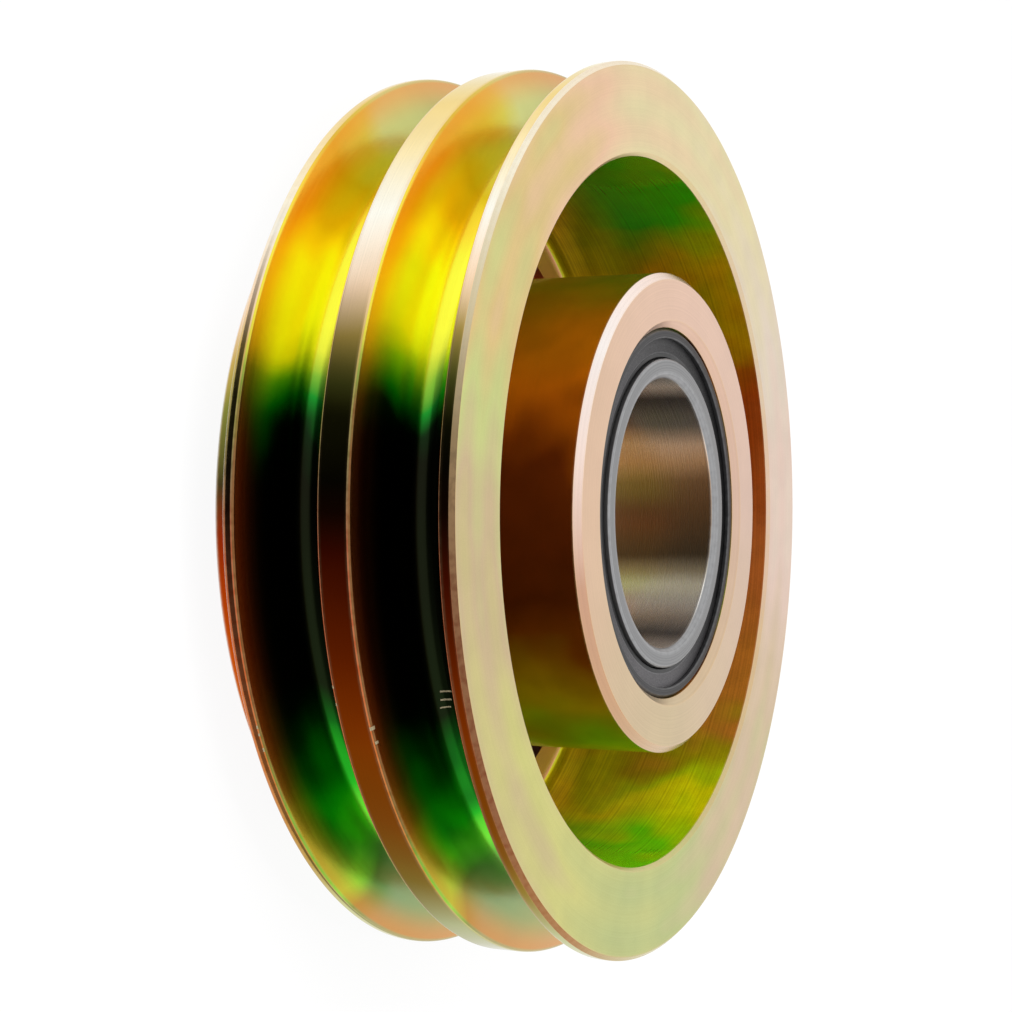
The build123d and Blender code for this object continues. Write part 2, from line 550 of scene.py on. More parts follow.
    def make_wear_and_nook_shade(self) -> bpy.types.NodeTree:
        """Rubbed outer corners, broken up by noise, and painted shade in inner corners."""
        pen, given, result = self.start(
            "wear_and_nook_shade",
            {"Position": "NodeSocketVector", "Edge": "NodeSocketFloat", "Amount": "NodeSocketFloat"},
            ("Rubbed", "Nook"),
        )
        spots = pen.noise(given["Position"], self.rub_break_scale, 3.0)
        breaks = pen.remap(spots, *self.rub_break_range)
        outer = pen.math("POWER", pen.math("MAXIMUM", given["Edge"], 0.0), 2.0)
        share = self.rub_break_share
        rubbed = pen.math("MULTIPLY", outer, pen.math("MULTIPLY_ADD", breaks, share, 1.0 - share))
        pen.feed(result.inputs["Rubbed"], pen.math("MULTIPLY", rubbed, given["Amount"], clamp=True))
        # Painted shade: the share by which inner corners are darkened.
        inner = pen.math("MAXIMUM", pen.math("MULTIPLY", given["Edge"], -1.0), 0.0)
        pen.feed(result.inputs["Nook"], pen.math("MULTIPLY", inner, given["Amount"], clamp=True))
        return pen.tree


class Bench:
    """What every finish starts from: a material with a Principled BSDF, its coordinates and effects."""

    def __init__(self, effects: SharedEffects) -> None:
        """Keeps the shared node groups."""
        self.effects = effects

    def start(
        self, name: str
    ) -> tuple[bpy.types.Material, NodePen, bpy.types.Node, bpy.types.NodeSocket]:
        """New material, a pen for it, its Principled BSDF and the Object coordinates.

        Args:
            name: Name of the material.

        Returns:
            The material, its pen, its Principled BSDF and its Object coordinates.
        """
        material = bpy.data.materials.new(name)
        material.use_nodes = True
        pen = NodePen(material.node_tree)
        principled = next(n for n in material.node_tree.nodes if n.type == "BSDF_PRINCIPLED")
        return material, pen, principled, pen.node("ShaderNodeTexCoord").outputs["Object"]

    @staticmethod
    def bump(pen: NodePen, principled: bpy.types.Node, height: object, distance: float,
             strength: float = 1.0) -> None:
        """Feeds a height into the normal, with its depth in millimetres.

        Args:
            pen: Pen of the material.
            principled: Its Principled BSDF.
            height: Socket with the height.
            distance: Depth of a height of 1.
            strength: Strength of the bump.
        """
        made = pen.node("ShaderNodeBump")
        made.inputs["Distance"].default_value = distance * MM
        made.inputs["Strength"].default_value = strength
        pen.feed(made.inputs["Height"], height)
        pen.feed(principled.inputs["Normal"], made.outputs[0])

    @staticmethod
    def edge(pen: NodePen) -> bpy.types.NodeSocket:
        """Edge value that the meshes carry: 1 on outer corners, -1 on inner ones."""
        return pen.node("ShaderNodeAttribute", attribute_name=EDGE_ATTRIBUTE).outputs["Fac"]


@dataclass(frozen=True)
class ChromateFinish:
    """Zinc plating under a yellow chromate film, on a turned surface.

    The film's colour follows the turn round the axis, repeats times a turn, and wobbles in patches.
    Some cycles also hold painted reflection, highlight and shade, fixed to the turn in the same way.
    Towards a brim, which is a radius or a height, it blends into the brim's colour. Lengths are in
    millimetres.
    """

    name: str
    film: Stops
    direction: Direction
    repeats: float = 3.0
    phase: float = 0.5
    wobble: float = 0.25
    patch: float = 40.0
    across: float = 0.0
    roughness: float = 0.12
    roughness_spread: float = 0.06
    pitch: float = 0.25
    mark_depth: float = 0.004
    grain: float = 0.2
    grain_share: float = 0.3
    tone_depth: float = 0.12
    mottle_depth: float = 0.15
    mottle_range: tuple[float, float] = (0.3, 0.7)
    wear: float = 0.6
    metallic: float = 1.0
    worn: Colour = srgb(226, 190, 140)
    brim: Colour = srgb(246, 138, 52)
    brim_share: float = 0.0
    brim_axis: str = "Radius"
    brim_span: tuple[float, float] = (61.5, 66.0)
    brim_stop: float = 0.0
    brim_stop_band: float = 0.4
    brim_rest: float = 0.3
    nicks: tuple[tuple[float, float, float, float], ...] = ()
    nick: Colour = srgb(158, 144, 112)
    nick_metallic: float = 0.2
    # Dark colour painted into inner corners as shade.
    nook_shade: Colour = srgb(96, 70, 40)
    nook_shade_share: float = 0.5

    def material(self, bench: Bench) -> bpy.types.Material:
        """Material of this finish.

        Args:
            bench: Bench that the material is made on.

        Returns:
            The material.
        """
        material, pen, principled, position = bench.start(self.name)
        effects = bench.effects
        drift = pen.group(
            effects.film_drift,
            **{
                "Position": position,
                "Repeats": self.repeats,
                "Phase": self.phase,
                "Wobble": self.wobble,
                "Patch": self.patch * MM,
                "Across": self.across,
            },
        ).outputs
        marks = pen.group(
            effects.tool_marks,
            **{
                "Position": position,
                "Direction": self.direction.value,
                "Pitch": self.pitch,
                "Grain": self.grain,
                "Grain Share": self.grain_share,
            },
        ).outputs
        wear = pen.group(
            effects.wear_and_nook_shade, Position=position, Edge=bench.edge(pen), Amount=self.wear
        ).outputs
        # The cycle gives the film's colour, and in some finishes painted reflection, highlight and shade
        # too.
        colour = pen.ramp(drift["Drift"], self.film)
        place = pen.group(effects.turning_place, Position=position).outputs
        if self.brim_share:
            share = pen.remap(place[self.brim_axis], *self.brim_span, 0.0, self.brim_share)
            if self.brim_stop:
                start = self.brim_stop - self.brim_stop_band
                stop = pen.remap(place[self.brim_axis], start, self.brim_stop, 1.0, self.brim_rest)
                share = pen.math("MULTIPLY", share, stop)
            colour = pen.blend(share, colour, self.brim)
        # Random mottle: the film is darkened in noise patches.
        shadow = pen.remap(drift["Mottle"], *self.mottle_range, 1.0, 1.0 - self.mottle_depth)
        tone = pen.math("MULTIPLY_ADD", marks["Tone"], -self.tone_depth, 1.0)
        shaded = pen.node("ShaderNodeVectorMath", operation="SCALE")
        pen.feed(shaded.inputs[0], colour)
        pen.feed(shaded.inputs["Scale"], pen.math("MULTIPLY", shadow, tone))
        rubbed = pen.blend(wear["Rubbed"], shaded.outputs[0], self.worn)
        # Painted shade: inner corners are blended towards the dark nook shade colour.
        nook = pen.math("MULTIPLY", wear["Nook"], self.nook_shade_share)
        base = pen.blend(nook, rubbed, self.nook_shade)
        principled.inputs["Metallic"].default_value = self.metallic
        if self.nicks:
            nicked = self.nicked(pen, place)
            base = pen.blend(nicked, base, self.nick)
            metal = pen.remap(nicked, 0.0, 1.0, self.metallic, self.nick_metallic)
            pen.feed(principled.inputs["Metallic"], metal)
        pen.feed(principled.inputs["Base Color"], base)
        most = self.roughness + self.roughness_spread
        rough = pen.remap(marks["Tone"], 0.0, 1.0, self.roughness, most)
        pen.feed(principled.inputs["Roughness"], rough)
        bench.bump(pen, principled, marks["Height"], self.mark_depth)
        return material

    def nicked(self, pen: NodePen, place: bpy.types.NodeOutputs) -> object:
        """1 in the nicks and 0 elsewhere.

        Args:
            pen: Pen of the material.
            place: Outputs of the turning_place group.

        Returns:
            The socket, over all nicks. Each is given by turn, height, and half its size in both.
        """
        covered = 0.0
        for turn, height, half_turn, half_height in self.nicks:
            beside = pen.math("COMPARE", place["Turn"], turn, half_turn)
            level = pen.math("COMPARE", place["Height"], height, half_height)
            covered = pen.math("MULTIPLY_ADD", beside, level, covered)
        return covered


@dataclass(frozen=True)
class SteelFinish:
    """Ground or brushed bare steel, with optional bands round the axis that are painted reflection.
    Lengths are in millimetres.
    """

    name: str
    light: Colour
    dark: Colour
    direction: Direction
    roughness: float = 0.2
    roughness_gain: float = 1.4
    pitch: float = 0.12
    mark_depth: float = 0.003
    anisotropy: float = 0.0
    metallic: float = 1.0
    grain: float = 0.15
    grain_share: float = 0.2
    wear: float = 0.4
    reflection_bands: Stops = ()
    band_sway: float = 0.012
    band_tone: float = 0.12
    rubbed: Colour = srgb(225, 226, 228)

    def material(self, bench: Bench) -> bpy.types.Material:
        """Material of this finish.

        Args:
            bench: Bench that the material is made on.

        Returns:
            The material.
        """
        material, pen, principled, position = bench.start(self.name)
        marks = pen.group(
            bench.effects.tool_marks,
            **{
                "Position": position,
                "Direction": self.direction.value,
                "Pitch": self.pitch,
                "Grain": self.grain,
                "Grain Share": self.grain_share,
            },
        ).outputs
        wear = pen.group(
            bench.effects.wear_and_nook_shade, Position=position, Edge=bench.edge(pen), Amount=self.wear
        ).outputs
        body = pen.blend(marks["Tone"], self.light, self.dark)
        # Painted reflection: colour bands round the axis stand in for the surroundings reflected in the
        # steel.
        if self.reflection_bands:
            place = pen.group(bench.effects.turning_place, Position=position).outputs
            drift = pen.noise(position, bench.effects.tool_sway_scale, 1.0)
            sway = pen.math("MULTIPLY", drift, self.band_sway)
            turn = pen.math("FRACT", pen.math("ADD", place["Turn"], sway))
            tone = pen.remap(marks["Tone"], 0.0, 1.0, 0.0, self.band_tone)
            body = pen.blend(tone, pen.ramp(turn, self.reflection_bands), self.dark, "MULTIPLY")
        pen.feed(principled.inputs["Base Color"], pen.blend(wear["Rubbed"], body, self.rubbed))
        principled.inputs["Metallic"].default_value = self.metallic
        most = self.roughness * self.roughness_gain
        rough = pen.remap(marks["Tone"], 0.0, 1.0, self.roughness, most)
        pen.feed(principled.inputs["Roughness"], rough)
        principled.inputs["Anisotropic"].default_value = self.anisotropy
        if self.anisotropy:
            tangent = pen.node("ShaderNodeTangent", direction_type="RADIAL", axis="Z")
            pen.feed(principled.inputs["Tangent"], tangent.outputs[0])
        bench.bump(pen, principled, marks["Height"], self.mark_depth)
        return material


@dataclass(frozen=True)
class MouldedFinish:
    """Rubber or nylon as it leaves its mould. Lengths are in millimetres."""

    name: str
    light: Colour
    dark: Colour
    roughness: float
    grain: float = 0.25
    depth: float = 0.02
    relief: float = 0.6
    bloom_scale: float = 150.0
    bloom_range: tuple[float, float] = (0.7, 1.3)
    roughness_spread: float = 0.12

    def material(self, bench: Bench) -> bpy.types.Material:
        """Material of this finish.

        Args:
            bench: Bench that the material is made on.

        Returns:
            The material.
        """
        material, pen, principled, position = bench.start(self.name)
        grain = pen.noise(position, 1.0 / (self.grain * MM), 4.0)
        bloom = pen.noise(position, self.bloom_scale, 2.0)
        share = pen.remap(pen.math("ADD", grain, bloom), *self.bloom_range)
        pen.feed(principled.inputs["Base Color"], pen.blend(share, self.dark, self.light))
        most = self.roughness + self.roughness_spread
        pen.feed(principled.inputs["Roughness"], pen.remap(share, 0.0, 1.0, self.roughness, most))
        bench.bump(pen, principled, grain, self.depth, self.relief)
        return material


# Film colours over one cycle of each finish: place in the cycle, red, green, blue. Some cycles also hold
# painted reflection, highlight and shade, as noted above each.
# Partly the film's colour and partly painted reflection: the dark stretch from 0.346 to 0.545 stands in
# for dark surroundings reflected in the grooves.
GROOVE_FILM_AND_REFLECTION = ramp_stops(
    (0.00, 176, 172, 96), (0.13, 140, 166, 112), (0.17, 98, 150, 68), (0.21, 118, 234, 56),
    (0.255, 40, 186, 38), (0.30, 22, 100, 26), (0.346, 26, 36, 18), (0.52, 26, 28, 18),
    (0.545, 24, 44, 22), (0.574, 32, 148, 46), (0.603, 134, 190, 58), (0.635, 238, 242, 66),
    (0.665, 255, 255, 66), (0.697, 255, 249, 60), (0.735, 255, 222, 52), (0.785, 224, 192, 20),
    (0.83, 216, 204, 66), (0.87, 206, 208, 124), (1.00, 176, 172, 96)
)
# Partly the film's colour and partly painted light: the near-white stretch round 0.70 is a painted
# highlight on the lands, and the dark stop at 0.52 is painted reflection of dark surroundings.
RIM_FILM_AND_REFLECTION = ramp_stops(
    (0.00, 210, 200, 120), (0.17, 200, 206, 126), (0.23, 184, 150, 20), (0.29, 198, 110, 8),
    (0.36, 202, 86, 6), (0.41, 186, 68, 4), (0.47, 150, 44, 8), (0.52, 70, 60, 30),
    (0.575, 136, 138, 60), (0.615, 206, 176, 90), (0.65, 255, 222, 186), (0.70, 255, 253, 240),
    (0.76, 255, 236, 182), (0.83, 241, 208, 104), (1.00, 210, 200, 120)
)
FACE_FILM = ramp_stops(
    (0.00, 230, 200, 182), (0.12, 214, 188, 150), (0.25, 190, 198, 126), (0.38, 212, 208, 124),
    (0.48, 208, 184, 142), (0.55, 206, 212, 134), (0.62, 226, 198, 130), (0.69, 240, 198, 160),
    (0.80, 231, 217, 164), (0.91, 228, 210, 188), (1.00, 230, 200, 182)
)
WALL_FILM = ramp_stops(
    (0.00, 230, 130, 60), (0.10, 226, 150, 50), (0.13, 190, 180, 16), (0.15, 206, 240, 14),
    (0.17, 255, 255, 10), (0.23, 110, 250, 10), (0.27, 150, 255, 20), (0.31, 255, 255, 10),
    (0.50, 210, 140, 50), (0.68, 220, 196, 20), (0.76, 30, 214, 8), (0.81, 30, 206, 6),
    (0.86, 190, 196, 6), (0.885, 230, 190, 6), (0.91, 206, 116, 18), (0.95, 206, 92, 22),
    (1.00, 230, 130, 60)
)
FLOOR_FILM = ramp_stops(
    (0.00, 226, 178, 140), (0.30, 226, 196, 100), (0.55, 214, 160, 110), (0.80, 220, 200, 110),
    (1.00, 226, 178, 140)
)
# Partly the film's colour and partly painted shade: the dark red-brown stretch from 0.40 to 0.52 stands
# in for shade on the hub.
HUB_FILM_AND_SHADE = ramp_stops(
    (0.00, 190, 140, 60), (0.25, 186, 204, 8), (0.30, 160, 190, 10), (0.35, 172, 140, 14),
    (0.40, 130, 64, 6), (0.44, 106, 44, 6), (0.52, 140, 66, 12), (0.58, 250, 146, 14),
    (0.64, 220, 140, 12), (0.70, 176, 140, 12), (1.00, 190, 140, 60)
)
HUB_FACE_FILM = ramp_stops(
    (0.00, 222, 188, 168), (0.25, 212, 190, 150), (0.50, 226, 190, 158), (0.75, 234, 196, 172),
    (1.00, 222, 188, 168)
)
# Painted highlight: the near-white stretch from 0.53 to 0.68 stands in for light caught by the hub's
# outer chamfer; elsewhere it follows the hub face's film colour.
HUB_EDGE_HIGHLIGHT = ramp_stops(
    (0.00, 222, 188, 168), (0.26, 216, 184, 146), (0.36, 210, 168, 132), (0.46, 212, 166, 138),
    (0.53, 250, 226, 214), (0.60, 255, 246, 240), (0.68, 255, 234, 222), (0.75, 230, 196, 176),
    (1.00, 222, 188, 168)
)
# Partly the film's colour and partly painted light: the near-white stretch round 0.62 is a painted
# highlight on the rim's front chamfer, and the dark stretch from 0.40 to 0.48 is painted reflection of
# dark surroundings.
RIM_EDGE_HIGHLIGHT_AND_REFLECTION = ramp_stops(
    (0.00, 226, 205, 180), (0.25, 206, 200, 130), (0.33, 170, 110, 50), (0.40, 116, 42, 16),
    (0.48, 96, 40, 22), (0.52, 112, 98, 72), (0.57, 212, 202, 168), (0.62, 255, 250, 228),
    (0.70, 250, 236, 210), (0.80, 240, 226, 190), (1.00, 226, 205, 180)
)

# Turn, height in millimetres, and half the size in both, of each nick in the film.
GROOVE_NICKS = (
    (-0.0680, 31.2, 0.00035, 0.8), (-0.0715, 31.0, 0.00035, 0.75), (-0.0747, 30.7, 0.00030, 0.7),
    (-0.0545, 20.70, 0.0005, 0.14), (-0.0575, 20.66, 0.0004, 0.12), (-0.0604, 20.70, 0.0005, 0.12),
    (-0.0684, 25.40, 0.0006, 0.14), (-0.0736, 25.42, 0.0005, 0.12),
)
LAND_NICKS = (
    (-0.0545, 20.90, 0.0005, 0.12), (-0.0604, 20.92, 0.0005, 0.10), (-0.0684, 25.20, 0.0006, 0.12),
    (-0.0700, 8.10, 0.0006, 0.14), (-0.0728, 8.05, 0.0005, 0.12), (-0.0784, 8.10, 0.0007, 0.14),
)

ROTOR_FINISHES: dict[Surface, ChromateFinish] = {
    Surface.RIM: ChromateFinish(
        "chromated_rim", RIM_FILM_AND_REFLECTION, Direction.CYLINDER, repeats=2.0, roughness=0.07,
        roughness_spread=0.04, mark_depth=0.0015, wobble=0.1, tone_depth=0.04, mottle_depth=0.05,
        wear=0.25, nicks=LAND_NICKS
    ),
    Surface.GROOVE: ChromateFinish(
        "chromated_groove_and_painted_reflection", GROOVE_FILM_AND_REFLECTION, Direction.CYLINDER, repeats=2.0, roughness=0.19,
        roughness_spread=0.04, pitch=0.5, mark_depth=0.0006, tone_depth=0.0, mottle_depth=0.02,
        wobble=0.16, across=0.014, patch=18.0, wear=0.15, brim_share=0.55, brim_span=(60.8, 65.6),
        brim_stop=65.8, nicks=GROOVE_NICKS
    ),
    Surface.FACE: ChromateFinish(
        "chromated_annular_face", FACE_FILM, Direction.FACE, repeats=1.0, roughness=0.28, wobble=0.3,
        across=0.02, pitch=0.3, grain_share=0.6, tone_depth=0.05, mottle_depth=0.06, patch=30.0,
        wear=0.4
    ),
    Surface.WALL: ChromateFinish(
        "chromated_cavity_wall", WALL_FILM, Direction.CYLINDER, repeats=1.0, roughness=0.2, wobble=0.22,
        pitch=0.35, mark_depth=0.008, grain_share=0.3, tone_depth=0.3, mottle_depth=0.15,
        metallic=0.55, patch=18.0, brim=srgb(255, 240, 14), brim_share=0.6, brim_axis="Height",
        brim_span=(26.0, 13.0)
    ),
    Surface.FLOOR: ChromateFinish(
        "chromated_cavity_floor", FLOOR_FILM, Direction.FACE, roughness=0.18, mark_depth=0.006,
        metallic=0.8
    ),
    Surface.HUB: ChromateFinish(
        "chromated_hub", HUB_FILM_AND_SHADE, Direction.CYLINDER, repeats=1.0, roughness=0.2, wobble=0.25,
        metallic=0.75, patch=24.0
    ),
    Surface.HUB_FACE: ChromateFinish(
        "chromated_hub_face", HUB_FACE_FILM, Direction.FACE, repeats=1.0, roughness=0.28, wear=0.3,
        mottle_depth=0.05, tone_depth=0.05, wobble=0.2
    ),
    Surface.SEAT: ChromateFinish(
        "chromated_bearing_seat", HUB_FILM_AND_SHADE, Direction.CYLINDER, roughness=0.22, metallic=0.8
    ),
    Surface.FRICTION: ChromateFinish(
        "chromated_friction_face", FACE_FILM, Direction.FACE, repeats=1.0, roughness=0.26, pitch=0.45,
        mark_depth=0.03, tone_depth=0.25, grain_share=0.1
    ),
    Surface.SLOT: ChromateFinish(
        "chromated_flux_slot", HUB_FILM_AND_SHADE, Direction.CYLINDER, roughness=0.3, tone_depth=0.3, metallic=0.8
    ),
    Surface.HUB_EDGE: ChromateFinish(
        "chromated_hub_edge_painted_highlight", HUB_EDGE_HIGHLIGHT, Direction.CYLINDER, repeats=1.0, roughness=0.2, wobble=0.06,
        tone_depth=0.04, mottle_depth=0.04, wear=0.2
    ),
    Surface.RIM_EDGE: ChromateFinish(
        "chromated_rim_edge_painted_light", RIM_EDGE_HIGHLIGHT_AND_REFLECTION, Direction.CYLINDER, repeats=1.0, roughness=0.2, wobble=0.06,
        tone_depth=0.04, mottle_depth=0.04, wear=0.2
    ),
}

# Painted reflection on bare steel: bands round the axis that stand in for the surroundings reflected in
# the bore, listed as turn, red, green, blue.
BORE_REFLECTION_BANDS = ramp_stops(
    (0.000, 150, 126, 98), (0.140, 92, 82, 64), (0.230, 170, 164, 156), (0.300, 255, 252, 246),
    (0.335, 96, 94, 96), (0.385, 140, 136, 134), (0.415, 255, 230, 206), (0.440, 240, 202, 164),
    (0.465, 176, 142, 106), (0.500, 150, 118, 84), (0.560, 108, 94, 74), (0.583, 200, 190, 168),
    (0.600, 255, 253, 246), (0.630, 246, 244, 238), (0.655, 188, 186, 180), (0.690, 116, 114, 114),
    (0.760, 255, 240, 228), (0.860, 170, 142, 110), (1.000, 150, 126, 98)
)

# Painted reflection on the seal's face: lighter and darker bands round the axis, darkest round a turn of
# 0.5, stand in for its sheen; turn, red, green, blue.
SEAL_REFLECTION_BANDS = ramp_stops(
    (0.00, 84, 83, 84), (0.12, 90, 88, 90), (0.19, 78, 77, 78), (0.26, 60, 59, 60),
    (0.34, 48, 47, 48), (0.41, 28, 27, 28), (0.56, 26, 25, 26), (0.65, 60, 59, 60),
    (0.73, 94, 92, 94), (0.82, 98, 96, 98), (0.91, 90, 88, 90), (1.00, 84, 83, 84)
)

RING_FACE = SteelFinish(
    "ground_inner_ring_face", srgb(146, 146, 147), srgb(132, 132, 133), Direction.FACE, roughness=0.34,
    wear=0.2
)
# Painted shade: the outer ring's face is given the seal's dark grey, far darker than the ground steel of
# the inner ring.
OUTER_FACE = SteelFinish(
    "darkened_outer_ring", srgb(72, 71, 72), srgb(60, 59, 60), Direction.FACE, roughness=0.4, wear=0.1
)
RING_BORE = SteelFinish(
    "brushed_bearing_bore", srgb(206, 200, 190), srgb(170, 164, 156), Direction.CYLINDER,
    roughness=0.22, pitch=0.08, mark_depth=0.0004, grain_share=0.0, anisotropy=0.5, metallic=0.85,
    reflection_bands=BORE_REFLECTION_BANDS, wear=0.2
)
SEAL_STEEL = SteelFinish(
    "satin_seal_steel", srgb(66, 65, 66), srgb(57, 56, 57), Direction.FACE, roughness=0.48,
    mark_depth=0.001, grain_share=0.8, metallic=0.8, wear=0.1, reflection_bands=SEAL_REFLECTION_BANDS
)
BALL_STEEL = SteelFinish(
    "polished_ball_steel", srgb(220, 221, 224), srgb(205, 206, 210), Direction.CYLINDER, roughness=0.05
)
SEAL_RUBBER = MouldedFinish("seal_rubber", srgb(17, 17, 18), srgb(8, 8, 8), 0.4)
CAGE_NYLON = MouldedFinish("cage_nylon", srgb(196, 186, 160), srgb(170, 160, 132), 0.4)


@dataclass(frozen=True)
class PulleyRotor:
    """One-piece rotor: rim with its belt grooves, coil cavity, slotted floor, hub and friction face."""

    rim_radius: float = 66.0
    width: float = 40.0
    edge: float = 0.12
    ring_radius: float = 57.9
    ring_chamfer: float = 0.6
    flange_height: float = 6.6
    flange_foot: float = 0.5
    groove_middles: tuple[float, float] = (14.5, 31.6)
    groove_top: float = 12.6
    groove_depth: float = 10.3
    groove_angle: float = 44.0
    land_rounding: float = 0.6
    root_rounding: float = 3.1
    face_chamfer: float = 0.6
    cavity_radius: float = 52.5
    mouth_chamfer: float = 0.5
    floor: float = 10.0
    floor_relief: float = 0.8
    land_radius: float = 50.3
    wall_foot: float = 1.4
    hub_radius: float = 35.5
    hub_face: float = 43.3
    hub_foot: float = 1.5
    hub_chamfer: float = 1.0
    seat_radius: float = 27.5
    seat_bottom: float = 18.3
    lip_radius: float = 25.0
    lip_bottom: float = 14.3
    relief_radius: float = 28.5
    relief_chamfer: float = 0.8
    relief_rounding: float = 0.3
    slot_radii: tuple[float, float] = (44.8, 39.5)
    slot_width: float = 3.0
    slot_bridge: float = 6.5
    slots_per_ring: int = 6
    slot_overcut: float = 1.0

    def corners(self) -> list[Corner]:
        """Corners of the rotor's section, from the friction face up the rim and down the bore.

        Returns:
            The corners, with the metal on the left.
        """
        flank = self.groove_depth * math.tan(math.radians(self.groove_angle / 2))
        root = self.rim_radius - self.groove_depth
        half_top = self.groove_top / 2
        half_root = half_top - flank
        soft = self.land_rounding
        corners = [
            Corner(self.ring_radius - self.ring_chamfer, 0.0, self.edge, Surface.RIM),
            Corner(self.ring_radius, self.ring_chamfer, self.edge, Surface.RIM),
            Corner(self.ring_radius, self.flange_height, self.flange_foot, Surface.RIM),
            Corner(self.rim_radius, self.flange_height, soft, Surface.RIM),
        ]
        for middle in self.groove_middles:
            corners += [
                Corner(self.rim_radius, middle - half_top, soft, Surface.GROOVE),
                Corner(root, middle - half_root, self.root_rounding, Surface.GROOVE),
                Corner(root, middle + half_root, self.root_rounding, Surface.GROOVE),
                Corner(self.rim_radius, middle + half_top, soft, Surface.RIM),
            ]
        return corners + [
            Corner(self.rim_radius, self.width - self.face_chamfer, self.edge, Surface.RIM_EDGE),
            Corner(self.rim_radius - self.face_chamfer, self.width, self.edge, Surface.FACE),
            Corner(self.cavity_radius + self.mouth_chamfer, self.width, self.edge, Surface.FACE),
            Corner(self.cavity_radius, self.width - self.mouth_chamfer, self.edge, Surface.WALL),
            Corner(self.cavity_radius, self.floor - self.floor_relief, self.wall_foot, Surface.FLOOR),
            Corner(self.land_radius, self.floor - self.floor_relief, self.edge, Surface.FLOOR),
            Corner(self.land_radius, self.floor, self.edge, Surface.FLOOR),
            Corner(self.hub_radius, self.floor, self.hub_foot, Surface.HUB),
            Corner(self.hub_radius, self.hub_face - self.hub_chamfer, self.edge, Surface.HUB_EDGE),
            Corner(self.hub_radius - self.hub_chamfer, self.hub_face, self.edge, Surface.HUB_FACE),
            Corner(self.seat_radius + self.hub_chamfer, self.hub_face, self.edge, Surface.HUB_FACE),
            Corner(self.seat_radius, self.hub_face - self.hub_chamfer, self.edge, Surface.SEAT),
            Corner(self.seat_radius, self.seat_bottom, 0.0, Surface.SEAT),
            Corner(self.lip_radius, self.seat_bottom, self.edge, Surface.SEAT),
            Corner(self.lip_radius, self.lip_bottom, self.edge, Surface.SEAT),
            Corner(self.relief_radius, self.lip_bottom, self.relief_rounding, Surface.SEAT),
            Corner(self.relief_radius, self.relief_chamfer, self.edge, Surface.SEAT),
            Corner(self.relief_radius + self.relief_chamfer, 0.0, self.edge, Surface.FRICTION),
        ]

    def slot_outline(self, centre_radius: float, steps: int = 40, end_steps: int = 12) -> np.ndarray:
        """Outline of a flux slot about the X axis: two arcs and two half circles.

        The outer arc runs at the centre radius plus half the width, then a half circle closes one
        end, the inner arc runs back, and a half circle closes the other end.

        Args:
            centre_radius: Radius of the slot's middle line.
            steps: Spans along each arc.
            end_steps: Spans round each end.

        Returns:
            Points of the outline, anticlockwise seen from +Z.
        """
        half = self.slot_width / 2
        share = 2 * math.pi / self.slots_per_ring
        reach = (share - (self.slot_bridge + self.slot_width) / centre_radius) / 2
        sweep = np.linspace(-reach, reach, steps + 1)
        turn = np.linspace(0.0, math.pi, end_steps + 1)[1:-1]
        outer = (centre_radius + half) * np.stack([np.cos(sweep), np.sin(sweep)], axis=1)
        inner = (centre_radius - half) * np.stack([np.cos(sweep[::-1]), np.sin(sweep[::-1])], axis=1)
        ends = []
        for angle, first in ((reach, reach), (-reach, -reach + math.pi)):
            centre = centre_radius * np.array([math.cos(angle), math.sin(angle)])
            ends.append(centre + half * np.stack([np.cos(first + turn), np.sin(first + turn)], axis=1))
        return np.concatenate([outer, ends[0], inner, ends[1]])

    def slot_cutters(self) -> bpy.types.Mesh:
        """One mesh of upright prisms, a prism for each flux slot, to cut from the floor.

        Returns:
            The mesh, in metres.
        """
        points, faces, start = [], [], 0
        for ring, centre_radius in enumerate(self.slot_radii):
            outline = self.slot_outline(centre_radius)
            count = len(outline)
            for copy in range(self.slots_per_ring):
                angle = (copy + ring / 2) * 2 * math.pi / self.slots_per_ring
                turned = outline @ np.array(
                    [[math.cos(angle), math.sin(angle)], [-math.sin(angle), math.cos(angle)]]
                )
                for height in (-self.slot_overcut, self.floor + self.slot_overcut):
                    points.append(np.column_stack([turned, np.full(count, height)]))
                low = start + np.arange(count)
                faces.append(low[::-1].tolist())
                faces.append((low + count).tolist())
                onward = np.roll(low, -1)
                faces += np.stack([low, onward, onward + count, low + count], axis=1).tolist()
                start += 2 * count
        mesh = bpy.data.meshes.new("flux_slot_cutters")
        mesh.from_pydata(np.concatenate(points) * MM, [], faces)
        return mesh

    @staticmethod
    def cut_slots(body: bpy.types.Mesh, cutters: bpy.types.Mesh) -> bpy.types.Mesh:
        """Mesh of the rotor with its flux slots cut through the floor.

        Args:
            body: Turned rotor.
            cutters: Prisms of the slots.

        Returns:
            The cut mesh.
        """
        tool = bpy.data.objects.new("flux_slot_cutters", cutters)
        blank = bpy.data.objects.new("rotor_blank", body)
        for made in (tool, blank):
            bpy.context.scene.collection.objects.link(made)
        cut = blank.modifiers.new("slots", "BOOLEAN")
        cut.object, cut.operation, cut.solver = tool, "DIFFERENCE", "MANIFOLD"
        view = bpy.context.evaluated_depsgraph_get()
        result = bpy.data.meshes.new_from_object(blank.evaluated_get(view), depsgraph=view)
        for made in (tool, blank):
            bpy.data.objects.remove(made)
        return result

